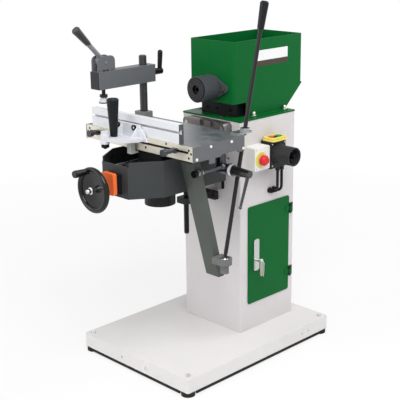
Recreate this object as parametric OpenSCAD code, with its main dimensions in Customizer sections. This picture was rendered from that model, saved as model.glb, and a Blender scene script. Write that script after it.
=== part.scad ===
// Horizontal slot mortiser: a lever-driven cross table on a rising knee in front of a column.
// Millimetres. X to the operator's right, Y from the operator to the column, Z up.
// The origin is on the floor under the middle of the base.

/* [Base] */
// Width of the base across the machine
base_w = 590; // [520:1:700]
// Depth of the base from front to back
base_d = 800; // [740:1:900]
// Height of the folded skirt
skirt_h = 54; // [40:1:70]
// Sheet thickness of base and column
sheet = 3; // [2:0.5:4]
// Height of the rubber feet
foot_h = 18; // [14:1:26]
// Radius of a rubber foot
foot_r = 26; // [22:1:30]

/* [Column] */
// Width of the column
column_w = 308; // [296:1:330]
// Depth of the column
column_d = 314; // [312:1:340]
// Distance of the column front behind the middle of the base
column_y = 25; // [10:1:50]
// Height of the column above the base
column_h = 846; // [835:1:870]
// Thickness of the top plate
plate_t = 6; // [4:0.5:8]

/* [Door] */
// Width of the door
door_w = 242; // [200:1:250]
// Height of the door
door_h = 400; // [340:1:400]
// Thickness of the door sheet
door_t = 3; // [2:0.5:4]

/* [Hood and motor] */
// Width of the hood
hood_w = 230; // [222:1:250]
// Depth of the hood
hood_d = 392; // [360:1:400]
// Height of the hood above the top plate
hood_h = 287; // [260:1:310]
// Sheet thickness of the hood
hood_t = 2.5; // [1.5:0.5:4]
// Radius of the motor body
motor_r = 68; // [60:1:72]

/* [Spindle] */
// Height of the spindle axis above the top plate
spindle_h = 111; // [105:1:120]
// Outer radius of the spindle housing
housing_r = 49; // [46:0.5:52]
// Radius of the tool bore in the chuck
tool_r = 8; // [5:0.5:10]

/* [Knee] */
// Width of the knee between its outer sides
knee_w = 280; // [270:1:290]
// Width of the knee at its nose
nose_w = 138; // [128:1:150]
// Height of the knee bottom above the floor
knee_z = 709; // [705:1:715]
// Height of the knee walls
knee_h = 132; // [128:1:140]
// Thickness of the knee walls
knee_t = 4; // [3:0.5:5]
// Radius of the guide rods from front to back
y_rod_r = 10; // [8:0.5:11]
// Outer radius of the chip spout
spout_r = 57.5; // [50:0.5:60]

/* [Table] */
// Length of the table
table_l = 570; // [540:1:600]
// Thickness of the table plate
table_t = 21; // [16:1:24]
// Radius of the rods from left to right
x_rod_r = 9; // [7:0.5:10]
// Height of the fence
fence_h = 68; // [60:1:78]
// Thickness of the fence
fence_t = 22; // [20:0.5:22]
// Width of the slots in rail and fence
slot_w = 8; // [6:0.5:10]

/* [Clamp] */
// Radius of the clamp post
post_r = 15; // [12:0.5:16]
// Width of the clamp arm
arm_w = 48; // [40:1:50]
// Height of the clamp arm
arm_h = 66; // [56:1:70]
// Eccentricity of the clamp cam
cam_e = 8; // [6:0.5:8]

/* [Long lever] */
// Radius of the lever
lever_r = 7.5; // [6.5:0.5:8]
// Radius of the pivot ball
ball_r = 18; // [17:0.5:19]
// Height of the lever top above the floor
lever_top = 1365; // [1300:1:1420]

/* [Handwheel] */
// Outer radius of the handwheel
wheel_r = 82; // [74:1:84]
// Radius of the wheel shaft
shaft_r = 8; // [6:0.5:9]
// Radius of the lifting screw
screw_r = 9; // [7:0.5:10]

/* [Fits] */
// Radial running clearance of shafts and rods
run_gap = 0.05; // [0.02:0.01:0.1]
// Gap between flat guide faces and around buttons
slide_gap = 0.3; // [0.2:0.1:0.4]

/* [Hidden] */
$fn = 64;
bw = base_w / 2;
bd = base_d / 2;
base_z = foot_h + skirt_h;
foot_in = 24;
cw = column_w / 2;
cy = column_y;
col_z = base_z + column_h;
plate_z = col_z + plate_t;
spin_z = plate_z + spindle_h;
hw = hood_w / 2;
hood_y0 = cy + 6;
hood_y1 = hood_y0 + hood_d;
motor_l = hood_d - 82;
hood_z = plate_z + hood_h;
hood_gap = plate_z + 56;
frame_y = cy - 42;
frame_hw = 76;
neck_hw = 54;
yoke_hw = 110;
frame_z0 = 650;
frame_z1 = col_z - 3;
yoke_z = frame_z1 - 62;
ear_y = frame_y + 20;
slide_y0 = frame_y - 21;
slide_hw = frame_hw + 12;
keeper_y = cy - 10.3;
kw = knee_w / 2;
nw = nose_w / 2;
nose_y = slide_y0 - 417;
flare_y = nose_y + 106;
flare_a = atan2(flare_y - nose_y, kw - nw);
nose_in = knee_t * tan(flare_a / 2);
flare_in = knee_t * tan((90 - flare_a) / 2);
knee_top = knee_z + knee_h;
y_rod_x = 45;
y_rod_z = knee_z + 91;
spout_y = slide_y0 - 207;
shaft_z = knee_z + 42;
screw_y = slide_y0 - 74;
gear_gap = 0.6;
wheel_y = nose_y - 98;
rim_r = 10.5;
crank_r = wheel_r - 14;
saddle_y1 = slide_y0 - 60;
saddle_z = knee_top + 5;
pad_z = saddle_z + 8;
x_rod_z = pad_z + 19;
table_u = pad_z + 35;
table_z = table_u + table_t;
table_y1 = slide_y0 - 42;
table_y0 = table_y1 - 270;
rail_d = 30;
rail_z = pad_z + 6;
th = table_l / 2;
rod_y0 = table_y0 + 50;
rod_y1 = table_y1 - 50;
slot_z = table_z - 20;
slot_x = th - 20;
fence_x0 = -th + 27;
fence_x1 = th - 73;
fence_y = table_y0 + 8;
fence_slot = table_z + 40;
lever_x = 245;
tab_y = table_y1 + 31;
tab_t = 6;
hole_r = lever_r + 5;
pivot_y = tab_y - 108;
pivot_z = 447;
tilt = atan2(tab_y - pivot_y, table_z + 7 - pivot_z);
lever_l = (lever_top - pivot_z) / cos(tilt);
socket_t = 24;
arm_x0 = kw;
arm_x1 = kw + 65;
arm_zt = knee_top - 16;
arm_zb = 370;
arm_slope = 0.27;
arm_flange = 34;
lock_y = saddle_y1 - 14;
lock_z = knee_z + 71;
lock_x0 = arm_x1 - 27;
lock_x1 = lock_x0 + 58;
stop_x = arm_x1 + 11;
stop_z = lock_z + 12;
stop_r = 6.5;
knob_r = 12.5;
lug_x = -14;
post_x = -th + 47;
post_y = table_y1 - 23;
foot_z = table_z + 22;
arm_z = table_z + 135;
arm_top = arm_z + arm_h;
arm_y0 = post_y - 235;
arm_y1 = post_y + 43;
plunger_y = post_y - 197;
ear_x = arm_w / 2 - 4;
ear_t = 6;
cam_r = 18;
cam_z = arm_top + 33;
cam_a = 134.5;
head_z = cam_z + cam_e / 2 - cam_r - 0.5;
door_y0 = cy + (column_d - door_w) / 2 + 5;
door_z0 = base_z + 109;
door_y1 = door_y0 + door_w;
door_z1 = door_z0 + door_h;
hinge_x = cw + 7;
hinge_y = door_y1 + 5;
hinge_z = [door_z0 + 77, door_z1 - 54];
lock_py = door_y0 + 43;
lock_pz = door_z0 + 179;
box_y = cy + 24;
box_z = base_z + 663;
body_y = cy + 113;
body_z = base_z + 656;
gland_y = [body_y + 52, body_y + 76];
gland_z = body_z - 102;
cable_x = cw + 42;

function arm_y(z) = pivot_y - 75 - arm_slope * (z - 685);

// Shared shapes

module box(x0, x1, y0, y1, z0, z1) {
  translate([x0, y0, z0]) cube([x1 - x0, y1 - y0, z1 - z0]);
}

module rod_x(x0, x1, y, z, r) {
  translate([x0, y, z]) rotate([0, 90, 0]) cylinder(h = x1 - x0, r = r);
}

module rod_y(x, y0, y1, z, r) {
  translate([x, y0, z]) rotate([-90, 0, 0]) cylinder(h = y1 - y0, r = r);
}

module rod_z(x, y, z0, z1, r) {
  translate([x, y, z0]) cylinder(h = z1 - z0, r = r);
}

module hex_y(x, y0, y1, z, r) {
  translate([x, y0, z]) rotate([-90, 30, 0]) cylinder(h = y1 - y0, r = r, $fn = 6);
}

module hex_z(x, y, z0, z1, r) {
  translate([x, y, z0]) cylinder(h = z1 - z0, r = r, $fn = 6);
}

module round_box(x0, x1, y0, y1, z0, z1, r) {
  box(x0 + r, x1 - r, y0, y1, z0, z1);
  box(x0, x1, y0 + r, y1 - r, z0, z1);
  for (x = [x0 + r, x1 - r], y = [y0 + r, y1 - r]) rod_z(x, y, z0, z1, r);
}

module round_plate(x0, x1, y0, y1, z0, z1, r) {
  box(x0, x1, y0 + r, y1 - r, z0, z1);
  box(x0, x1, y0, y1, z0 + r, z1 - r);
  for (y = [y0 + r, y1 - r], z = [z0 + r, z1 - r]) rod_x(x0, x1, y, z, r);
}

module round_plate_y(x0, x1, y0, y1, z0, z1, r) {
  box(x0 + r, x1 - r, y0, y1, z0, z1);
  box(x0, x1, y0, y1, z0 + r, z1 - r);
  for (x = [x0 + r, x1 - r], z = [z0 + r, z1 - r]) rod_y(x, y0, y1, z, r);
}

module yz_plate(x0, x1, pts) {
  translate([x0, 0, 0]) rotate([90, 0, 90]) linear_extrude(x1 - x0) polygon(pts);
}

module xz_plate(y0, y1, pts) {
  translate([0, y1, 0]) rotate([90, 0, 0]) linear_extrude(y1 - y0) polygon(pts);
}

module both_sides() {
  children();
  mirror([1, 0, 0]) children();
}

module at_feet() {
  for (x = [-1, 1], y = [-1, 1]) translate([x * (bw - foot_in), y * (bd - foot_in), 0]) children();
}

module bevel() {
  difference() {
    cylinder(h = 14, r1 = 26 - gear_gap, r2 = 12 - gear_gap);
    for (i = [0:15]) rotate([0, 0, i * 22.5]) translate([19, 0, 7]) rotate([0, -45, 0])
      translate([-3, -1, -12]) cube([7, 2, 24]);
  }
}

// Stand

module base_plate() {
  color("#8d8f90") difference() {
    round_box(-bw, bw, -bd, bd, foot_h, base_z, 8);
    round_box(-bw + sheet, bw - sheet, -bd + sheet, bd - sheet, foot_h - 1, base_z - sheet, 6);
    for (x = [-68, 68]) rod_y(x, -bd - 1, -bd + sheet + 1, foot_h + 24, 6);
    for (y = [bd - 165, bd - 126]) rod_x(-bw - 1, bw + 1, y, foot_h + 26, 6);
    at_feet() rod_z(0, 0, base_z - sheet - 1, base_z + 1, 5.6);
  }
}

module rubber_feet() {
  color("#1c1c1e") {
    at_feet() difference() {
      rod_z(0, 0, 0, foot_h, foot_r);
      rod_z(0, 0, -1, foot_h - 6, 5.1);
      rod_z(0, 0, foot_h - 4, foot_h + 1, 5.6);
    }
    for (y = [-1, 1]) box(-bw + 46, bw - 46, y * (bd - 5) - 3, y * (bd - 5) + 3, foot_h - 14, foot_h);
    for (x = [-1, 1]) box(x * (bw - 5) - 3, x * (bw - 5) + 3, -bd + 46, bd - 46, foot_h - 14, foot_h);
    for (x = [-1, 1], y = [-1, 1]) box(x * (bw - 7) - 7, x * (bw - 7) + 7, y * (bd - 60) - 4,
      y * (bd - 60) + 4, foot_h - 3, foot_h);
    for (x = [-1, 1], y = [-1, 1]) box(x * (bw - 60) - 4, x * (bw - 60) + 4, y * (bd - 7) - 7,
      y * (bd - 7) + 7, foot_h - 3, foot_h);
  }
}

module stand_fasteners() {
  color("#c9c9c6") {
    at_feet() {
      hex_z(0, 0, base_z, base_z + 7, 10);
      rod_z(0, 0, foot_h - 4, base_z + 1, 5);
    }
    both_sides() for (y = [hood_y0 + 100, hood_y1 - 114]) {
      rod_z(hw + 10, y, plate_z + hood_t, plate_z + hood_t + 2, 10);
      hex_z(hw + 10, y, plate_z + hood_t + 2, plate_z + hood_t + 10, 8);
      translate([hw + 10, y, plate_z + hood_t + 10]) sphere(r = 6.5);
    }
    both_sides() {
      rod_y(94, frame_y + 1, frame_y + 7, frame_z1 - 20, 9);
      rod_y(94, frame_y + 6, cy, frame_z1 - 20, 5);
    }
    both_sides() hex_y(70, hood_y0 - 17, hood_y0 - 10, spin_z, 9);
    rod_z(48, cy + 14, plate_z, plate_z + 6, 9);
  }
}

module column_shell() {
  color("#dcdbda") difference() {
    round_box(-cw, cw, cy, cy + column_d, base_z, col_z, 6);
    round_box(-cw + sheet, cw - sheet, cy + sheet, cy + column_d - sheet, base_z + sheet, col_z + 1, 4);
    box(cw - sheet - 1, cw + 1, door_y0 + 10, door_y1 - 10, door_z0 + 10, door_z1 - 10);
    rod_y(90, cy - 1, cy + sheet + 1, base_z + 700, 5);
    for (y = gland_y) rod_x(cw - sheet - 1, cw + 1, y, gland_z, 6);
  }
}

module guide_frame() {
  color("#9a9c9e") difference() {
    union() {
      round_plate_y(-frame_hw, frame_hw, frame_y, ear_y, frame_z0, yoke_z + 20, 12);
      box(-neck_hw, neck_hw, ear_y - 1, cy, frame_z0, yoke_z + 1);
      round_plate_y(-yoke_hw, yoke_hw, frame_y, cy, yoke_z, frame_z1, 15);
    }
    box(-16, 6, frame_y - 1, frame_y + 12, frame_z1 - 22, frame_z1 + 1);
    box(37, 59, frame_y - 1, frame_y + 12, frame_z1 - 22, frame_z1 + 1);
    both_sides() {
      rod_y(94, frame_y - 1, cy + 1, frame_z1 - 20, 5.1);
      rod_y(94, frame_y - 1, frame_y + 7, frame_z1 - 20, 9.4);
      rod_y(frame_hw - 13, frame_y - 1, frame_y + 8, frame_z0 + 24, 3);
    }
  }
}

module guide_rails() {
  color("#232325") both_sides() box(neck_hw + 4, neck_hw + 16, cy - 10, cy, frame_z0, yoke_z - 1);
}

module lift_nut() {
  color("#26282a") difference() {
    union() {
      box(-38, 38, cy - 20, cy, frame_z0 - 48, frame_z0 - 16);
      box(-25, 25, screw_y - 25, cy - 19, frame_z0 - 40, frame_z0 - 16);
    }
    rod_z(0, screw_y, frame_z0 - 41, frame_z0 - 15, screw_r + 2.4);
  }
}

module top_plate() {
  color("#17703d") difference() {
    round_box(-cw - 1, cw + 1, cy - 1, cy + column_d + 1, col_z, plate_z, 5);
    rod_z(0, cy + column_d - 29, col_z - 1, plate_z + 1, 12);
  }
}

module hood() {
  color("#176b3a") {
    difference() {
      round_box(-hw, hw, hood_y0, hood_y1, plate_z, hood_z, 10);
      round_box(-hw + hood_t, hw - hood_t, hood_y0 + hood_t, hood_y1 - hood_t, plate_z - 1, hood_z + 1, 8);
      box(-hw - 1, hw + 1, hood_y0 - 1, hood_y0 + 68, plate_z - 1, hood_gap);
      yz_plate(-hw - 1, hw + 1, [[hood_y1 - 100, plate_z - 1], [hood_y1 + 1, plate_z - 1],
        [hood_y1 + 1, plate_z + 92]]);
      rod_y(0, hood_y0 - 1, hood_y0 + hood_t + 1, spin_z, 46);
    }
    yz_plate(-hw, hw, [[hood_y1 - 100, plate_z], [hood_y1, plate_z + 92], [hood_y1, plate_z + 96],
      [hood_y1 - 105, plate_z]]);
    both_sides() box(hw - 1, hw + 22, hood_y0 + 68, hood_y1 - 105, plate_z, plate_z + hood_t);
  }
}

module motor() {
  color("#2b2c2e") difference() {
    union() {
      rod_y(0, hood_y0, hood_y0 + 24, spin_z, 44);
      rod_y(0, hood_y0 + 20, hood_y0 + 32, spin_z, motor_r - 3);
      rod_y(0, hood_y0 + 30, hood_y0 + motor_l - 40, spin_z, motor_r);
      rod_y(0, hood_y0 + motor_l - 40, hood_y0 + motor_l, spin_z, motor_r + 3);
      for (s = [-1, 1], a = [48:14:118]) translate([0, 0, spin_z]) rotate([0, s * a, 0])
        box(-1.5, 1.5, hood_y0 + 42, hood_y0 + motor_l - 48, motor_r - 6, motor_r + 5);
      box(-42, 42, hood_y0 + 110, hood_y0 + 195, spin_z + motor_r - 8, spin_z + motor_r + 32);
      box(-90, 90, hood_y0 + 36, hood_y0 + 235, plate_z, spin_z - motor_r + 6);
      box(-48, 48, hood_y0 + 40, hood_y0 + 235, plate_z, spin_z - motor_r + 24);
    }
    rod_y(0, hood_y0 - 1, hood_y0 + 22, spin_z, 15 + run_gap);
  }
}

module spindle_housing() {
  color("#2e3033") difference() {
    union() {
      rod_y(0, frame_y - 33, hood_y0, spin_z, housing_r);
      translate([0, 0, spin_z]) xz_plate(hood_y0 - 10, hood_y0, [[-77, 14], [-20, housing_r - 4],
        [20, housing_r - 4], [77, 14], [77, -14], [20, -housing_r + 4], [-20, -housing_r + 4], [-77, -14]]);
      both_sides() rod_y(72, hood_y0 - 10, hood_y0, spin_z, 15.5);
    }
    rod_y(0, frame_y - 34, hood_y0 - 40, spin_z, housing_r - 5);
    rod_y(0, hood_y0 - 41, hood_y0 + 1, spin_z, 15 + run_gap);
  }
}

module estop_box() {
  color("#e6e6e2") difference() {
    union() {
      round_plate(cw, cw + 52, box_y, box_y + 83, box_z, box_z + 90, 6);
      rod_x(cw + 51, cw + 55, box_y + 33, box_z + 42, 30);
    }
    rod_x(cw + 30, cw + 56, box_y + 33, box_z + 42, 9 + slide_gap);
  }
}

module switch_body() {
  color("#222326") difference() {
    union() {
      round_box(cw, cw + 51, body_y, body_y + 90, body_z, body_z + 106, 5);
      for (y = gland_y) rod_z(cable_x, y, body_z - 14, body_z, 9);
    }
    for (y = [body_y + 24, body_y + 66]) rod_z(cw + 33, y, body_z + 90, body_z + 107, 5 + slide_gap);
  }
}

module switch_collar() {
  color("#dfd98a") difference() {
    union() {
      round_box(cw + 3, cw + 63, body_y + 2, body_y + 88, body_z + 106, body_z + 112, 12);
      round_box(cw + 6, cw + 60, body_y + 5, body_y + 85, body_z + 111, body_z + 120, 12);
    }
    round_box(cw + 13, cw + 53, body_y + 12, body_y + 78, body_z + 114, body_z + 121, 10);
    for (y = [body_y + 24, body_y + 66]) rod_z(cw + 33, y, body_z + 105, body_z + 121, 11 + slide_gap);
  }
}

module power_inlet() {
  color("#26272a") {
    difference() {
      rod_x(cw + 51, cw + 134, body_y + 42, body_z + 55, 36);
      rod_x(cw + 75, cw + 135, body_y + 42, body_z + 55, 32);
    }
    for (a = [0:72:288]) rod_x(cw + 74, cw + 118, body_y + 42 + 18 * cos(a), body_z + 55 + 18 * sin(a), 3.5);
    rod_x(cw + 51, cw + 60, body_y + 42, body_z + 55, 40);
  }
}

module cable_glands() {
  color("#1d1d1f") for (y = gland_y) difference() {
    union() {
      rod_x(cw, cw + 6, y, gland_z, 11.5);
      rod_x(cw + 6, cw + 16, y, gland_z, 10);
    }
    rod_x(cw - 1, cw + 17, y, gland_z, 5.5);
  }
}

module switch_cables() {
  color("#151516") for (y = gland_y) {
    rod_z(cable_x, y, gland_z + 24, body_z - 14, 5.5);
    translate([cable_x - 24, y, gland_z + 24]) rotate([90, 0, 0]) rotate([0, 0, -90])
      rotate_extrude(angle = 90) translate([24, 0]) circle(r = 5.5);
    rod_x(cw - 10, cable_x - 24, y, gland_z, 5.5);
  }
}

module hinge_leaves() {
  color("#1f2022") for (z = hinge_z) difference() {
    union() {
      box(cw, cw + 1.7, hinge_y - 4, hinge_y + 20, z - 20, z + 20);
      for (s = [-1, 1]) rod_z(hinge_x, hinge_y, z + s * 15 - 5, z + s * 15 + 5, 5);
      for (s = [-1, 1]) box(cw, hinge_x, hinge_y, hinge_y + 5, z + s * 15 - 5, z + s * 15 + 5);
      rod_z(hinge_x, hinge_y, z - 20, z + 20, 2.5);
    }
    box(cw - 1, cw + 1.6, hinge_y - 30, hinge_y - 3, z - 21, z + 21);
  }
}

// Spindle

module chuck() {
  color("#3a3b3e") difference() {
    union() {
      rod_y(0, frame_y - 37, hood_y0 - 40 - 0.5, spin_z, housing_r - 5.6);
      rod_y(0, hood_y0 - 42, hood_y0 + 20, spin_z, 15);
    }
    rod_y(0, frame_y - 38, hood_y0 - 46, spin_z, tool_r + 9);
  }
}

module chuck_jaws() {
  color("#8b8c8f") difference() {
    rod_y(0, frame_y - 28, hood_y0 - 46, spin_z, tool_r + 9);
    rod_y(0, frame_y - 29, hood_y0 - 45, spin_z, tool_r);
    for (a = [30, 150, 270]) translate([0, 0, spin_z]) rotate([0, a, 0])
      box(0, tool_r + 10, frame_y - 29, hood_y0 - 52, -0.8, 0.8);
  }
}

// Knee

module knee_housing() {
  color("#5b5d60") {
    difference() {
      translate([0, 0, knee_z]) linear_extrude(knee_h) polygon([[-nw, nose_y], [nw, nose_y],
        [kw, flare_y], [kw, slide_y0], [-kw, slide_y0], [-kw, flare_y]]);
      translate([0, 0, knee_z + knee_t]) linear_extrude(knee_h) polygon([
        [-nw + nose_in, nose_y + knee_t], [nw - nose_in, nose_y + knee_t],
        [kw - knee_t, flare_y + flare_in], [kw - knee_t, slide_y0 - knee_t],
        [-kw + knee_t, slide_y0 - knee_t], [-kw + knee_t, flare_y + flare_in]]);
      box(-nw - 10, nw + 10, nose_y - 1, nose_y + knee_t + 2, knee_top - 16, knee_top + 1);
      rod_z(0, spout_y, knee_z - 1, knee_z + knee_t + 1, spout_r - 3);
      rod_z(0, screw_y, knee_z - 1, knee_z + knee_t + 1, screw_r + run_gap);
      rod_y(0, nose_y - 1, nose_y + knee_t + 1, shaft_z, shaft_r + run_gap);
    }
    difference() {
      union() {
        rod_y(0, nose_y + knee_t - 1, nose_y + knee_t + 12, shaft_z, shaft_r + 9);
        box(-18, 18, screw_y - 46, screw_y - 36, knee_z + knee_t - 1, shaft_z + 18);
      }
      rod_y(0, nose_y, screw_y - 35, shaft_z, shaft_r + run_gap);
    }
  }
}

module knee_slide() {
  color("#4c4e51") {
    box(-slide_hw, slide_hw, slide_y0, frame_y - slide_gap, knee_z + 11, knee_top - 3);
    both_sides() {
      box(frame_hw + slide_gap, slide_hw, frame_y - 1, keeper_y, knee_z + 11, knee_z + 36);
      box(neck_hw + 4, slide_hw, ear_y + slide_gap, keeper_y, knee_z + 11, knee_z + 36);
    }
  }
}

module y_rods() {
  color("#c4c6c8") both_sides() rod_y(y_rod_x, nose_y + knee_t, slide_y0 - knee_t, y_rod_z, y_rod_r);
}

module dust_spout() {
  color("#1b1b1d") difference() {
    rod_z(0, spout_y, knee_z - 71, knee_z, spout_r);
    rod_z(0, spout_y, knee_z - 72, knee_z + 1, spout_r - 3);
  }
}

module lever_arm() {
  color("#77797c") {
    yz_plate(arm_x0, arm_x1, [[arm_y(arm_zt), arm_zt], [arm_y(arm_zt) + 4, arm_zt],
      [arm_y(arm_zb) + 4, arm_zb], [arm_y(arm_zb), arm_zb]]);
    for (x = [arm_x0, arm_x1 - 4]) yz_plate(x, x + 4, [[arm_y(arm_zt), arm_zt],
      [arm_y(arm_zt) + arm_flange, arm_zt], [arm_y(arm_zb) + arm_flange - 6, arm_zb],
      [arm_y(arm_zb), arm_zb]]);
    difference() {
      box(arm_x1 - 1, stop_x + 10, arm_y(stop_z) + 8, arm_y(stop_z) + 18, stop_z - 10, stop_z + 10);
      rod_y(stop_x, arm_y(stop_z) + 7, arm_y(stop_z) + 19, stop_z, stop_r);
    }
  }
}

module lever_socket() {
  color("#8a8c8e") difference() {
    union() {
      rod_z(lever_x, pivot_y, pivot_z - socket_t / 2, pivot_z + socket_t / 2, ball_r + 10);
      box(arm_x1, lever_x, pivot_y - 26, pivot_y + 26, pivot_z - socket_t / 2, pivot_z + socket_t / 2);
      rod_z(lever_x, pivot_y, pivot_z - 46, pivot_z - socket_t / 2, 16);
    }
    translate([lever_x, pivot_y, pivot_z]) sphere(r = ball_r + slide_gap);
    translate([lever_x, pivot_y, pivot_z + 2]) cylinder(h = socket_t, r1 = ball_r - 2, r2 = ball_r + 7);
    translate([lever_x, 0, 0]) both_sides() rod_x(ball_r - 4, ball_r + 7.4, pivot_y, pivot_z, 4 + run_gap);
  }
}

module indicator() {
  color("#e8743b") difference() {
    union() {
      round_plate_y(-32, 32, nose_y - 35, nose_y - 12, shaft_z - 29, shaft_z + 49, 8);
      round_plate_y(-36, 36, nose_y - 13, nose_y, shaft_z - 30, shaft_z + 46, 6);
    }
    rod_y(0, nose_y - 36, nose_y + 1, shaft_z, shaft_r + run_gap);
  }
}

module stop_rod() {
  y = arm_y(stop_z);
  color("#b9bbbd") {
    rod_y(stop_x, y - 10, lock_y + 22, stop_z, stop_r);
    rod_y(stop_x, y - 19, y - 6, stop_z, stop_r * 2);
    hex_y(stop_x, y, y + 8, stop_z, stop_r + 4);
    hex_y(stop_x, y + 18, y + 24, stop_z, stop_r + 4);
  }
}

module lifting_screw() {
  color("#a9abad") {
    rod_z(0, screw_y, knee_z - 221, shaft_z - 13, screw_r);
    translate([0, screw_y, shaft_z - 26]) bevel();
    rod_z(0, screw_y, knee_z - 7, knee_z - slide_gap, screw_r + 7);
  }
}

module handwheel() {
  color("#161618") difference() {
    union() {
      translate([0, wheel_y, shaft_z]) rotate([90, 0, 0]) {
        rotate_extrude() translate([wheel_r - rim_r, 0]) circle(r = rim_r);
        rotate_extrude() polygon([[shaft_r, -33], [18, -33], [20, -14], [wheel_r - 12, -7],
          [wheel_r - 12, 2], [18, -4], [shaft_r, -4]]);
      }
      translate([0, 0, shaft_z]) rotate([0, -20, 0]) {
        rod_y(0, wheel_y - 12, wheel_y + 4, crank_r, 10);
        rod_y(0, wheel_y - 56, wheel_y, crank_r, 5);
      }
    }
    rod_y(0, wheel_y - 40, wheel_y + 40, shaft_z, shaft_r);
  }
}

module wheel_shaft() {
  color("#bcbdbf") {
    rod_y(0, wheel_y - 6, screw_y - 13, shaft_z, shaft_r);
    translate([0, screw_y - 26, shaft_z]) rotate([-90, 0, 0]) bevel();
    rod_y(0, wheel_y - 11, wheel_y - 4, shaft_z, shaft_r + 3);
  }
}

module crank_grip() {
  color("#18181a") translate([0, 0, shaft_z]) rotate([0, -20, 0]) difference() {
    union() {
      translate([0, wheel_y - 13, crank_r]) rotate([90, 0, 0]) cylinder(h = 44, r1 = 11.5, r2 = 13.5);
      rod_y(0, wheel_y - 62, wheel_y - 56, crank_r, 12);
    }
    rod_y(0, wheel_y - 56.4, wheel_y - 12, crank_r, 5 + run_gap);
  }
}

// Saddle

module saddle() {
  color("#222325") difference() {
    union() {
      box(-62, 62, saddle_y1 - 192, saddle_y1 - 52, y_rod_z - y_rod_r - 8, saddle_z + 1);
      box(-105, 105, saddle_y1 - 217, saddle_y1, saddle_z, pad_z);
      for (y = [rod_y0, rod_y1]) both_sides() box(62, 100, y - 18, y + 18, pad_z - 1, pad_z + 34);
      box(lug_x - 11, lug_x + 11, table_y0 - 24, saddle_y1 - 216, saddle_z, pad_z);
      box(lug_x - 11, lug_x + 11, table_y0 - 24, table_y0 - 4, saddle_z, table_z - 20);
      box(104, lock_x0 + 18, lock_y - 15, saddle_y1, saddle_z, pad_z);
    }
    both_sides() rod_y(y_rod_x, saddle_y1 - 193, saddle_y1 - 51, y_rod_z, y_rod_r + run_gap);
    for (y = [rod_y0, rod_y1]) rod_x(-101, 101, y, x_rod_z, x_rod_r + run_gap);
  }
}

module lock_sleeve() {
  color("#33353a") difference() {
    union() {
      box(lock_x0, lock_x0 + 18, lock_y - 15, lock_y + 9, lock_z, saddle_z);
      rod_x(lock_x0, lock_x1, lock_y, lock_z, 20);
      hex_y(stop_x, lock_y - 26, lock_y - 15, stop_z, stop_r + 4);
    }
    rod_y(stop_x, lock_y - 27, lock_y + 21, stop_z, stop_r + run_gap);
    rod_x(lock_x1 - 9, lock_x1 + 1, lock_y, lock_z, 4 + run_gap);
  }
}

module lock_lever() {
  color("#18181a") {
    rod_x(lock_x1 - 8, lock_x1 + 2, lock_y, lock_z, 4);
    rod_x(lock_x1 + slide_gap, lock_x1 + 14, lock_y, lock_z, 21);
    translate([lock_x1 + 13, lock_y, lock_z]) rotate([0, 90, 0]) cylinder(h = 80, r1 = 19, r2 = 13.5);
    translate([lock_x1 + 85, lock_y, lock_z]) rotate([-20, 0, 0]) {
      translate([0, 0, -122]) cylinder(h = 122, r1 = 4.5, r2 = 7);
      translate([0, 0, -122]) sphere(r = 6);
    }
  }
}

// Table

module table_top() {
  color("#c9c6bd") difference() {
    union() {
      box(-th, th, table_y0, table_y1, table_u, table_z);
      box(-th, th, table_y0, table_y0 + rail_d, rail_z, table_z);
      box(-th, th, table_y1 - rail_d, table_y1, rail_z, table_z);
    }
    box(-slot_x, slot_x, table_y0 - 1, table_y0 + 8, slot_z - slot_w / 2, slot_z + slot_w / 2);
    box(-slot_x, slot_x, table_y0 + 7, table_y0 + 13, slot_z - slot_w / 2 - 4, slot_z + slot_w / 2 + 4);
    both_sides() for (p = [[18, 11], [7, 22], [18, 38]]) rod_y(th - p[0], table_y0 - 1, table_y0 + 6,
      table_z - p[1], 3);
    for (p = [[155, 5], [48, 35]]) rod_y(p[0], table_y0 - 1, table_y0 + 6, table_z - p[1], 3);
  }
}

module x_rods() {
  color("#c4c6c8") for (y = [rod_y0, rod_y1]) rod_x(-th, th, y, x_rod_z, x_rod_r);
}

module end_plates() {
  z0 = rail_z - 2;
  color("#85878a") both_sides() difference() {
    yz_plate(th, th + 4, [[table_y0, z0], [table_y0 + 77, z0], [table_y0 + 77, saddle_z - 5],
      [table_y0 + 104, saddle_z - 5], [table_y0 + 104, z0], [table_y0 + 132, z0],
      [table_y0 + 138, z0 + 7], [table_y0 + 213, z0 + 7], [table_y0 + 219, z0],
      [table_y1 - 18, z0], [table_y1 - 18, table_z + 1], [table_y0, table_z + 1]]);
    for (p = [[15, 8], [83, 42], [185, 42], [245, 8]]) rod_x(th - 1, th + 5, table_y0 + p[0], rail_z + p[1], 3.1);
  }
}

module table_fasteners() {
  color("#e3e3df") both_sides() for (p = [[15, 8], [83, 42], [185, 42], [245, 8]]) {
    rod_x(th + 4, th + 7, table_y0 + p[0], rail_z + p[1], 5);
    rod_x(th, th + 5, table_y0 + p[0], rail_z + p[1], 3);
  }
}

module fence() {
  color("#e9e8e3") difference() {
    box(fence_x0, fence_x1, fence_y, fence_y + fence_t, table_z, table_z + fence_h);
    box(fence_x0 - 1, fence_x1 + 1, fence_y - 1, fence_y + 8, fence_slot - slot_w / 2, fence_slot + slot_w / 2);
    box(fence_x0 - 1, fence_x1 + 1, fence_y + 7, fence_y + 13, fence_slot - slot_w / 2 - 4,
      fence_slot + slot_w / 2 + 4);
  }
}

module lever_tab() {
  color("#9b9da0") difference() {
    union() {
      round_box(lever_x - 22, lever_x + 22, table_y1 - 24, tab_y + 18, table_z, table_z + tab_t, 6);
      hex_z(lever_x, tab_y, table_z, table_z + 16, 18);
    }
    rod_z(lever_x, tab_y, table_z - 1, table_z + 17, hole_r);
  }
}

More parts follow.
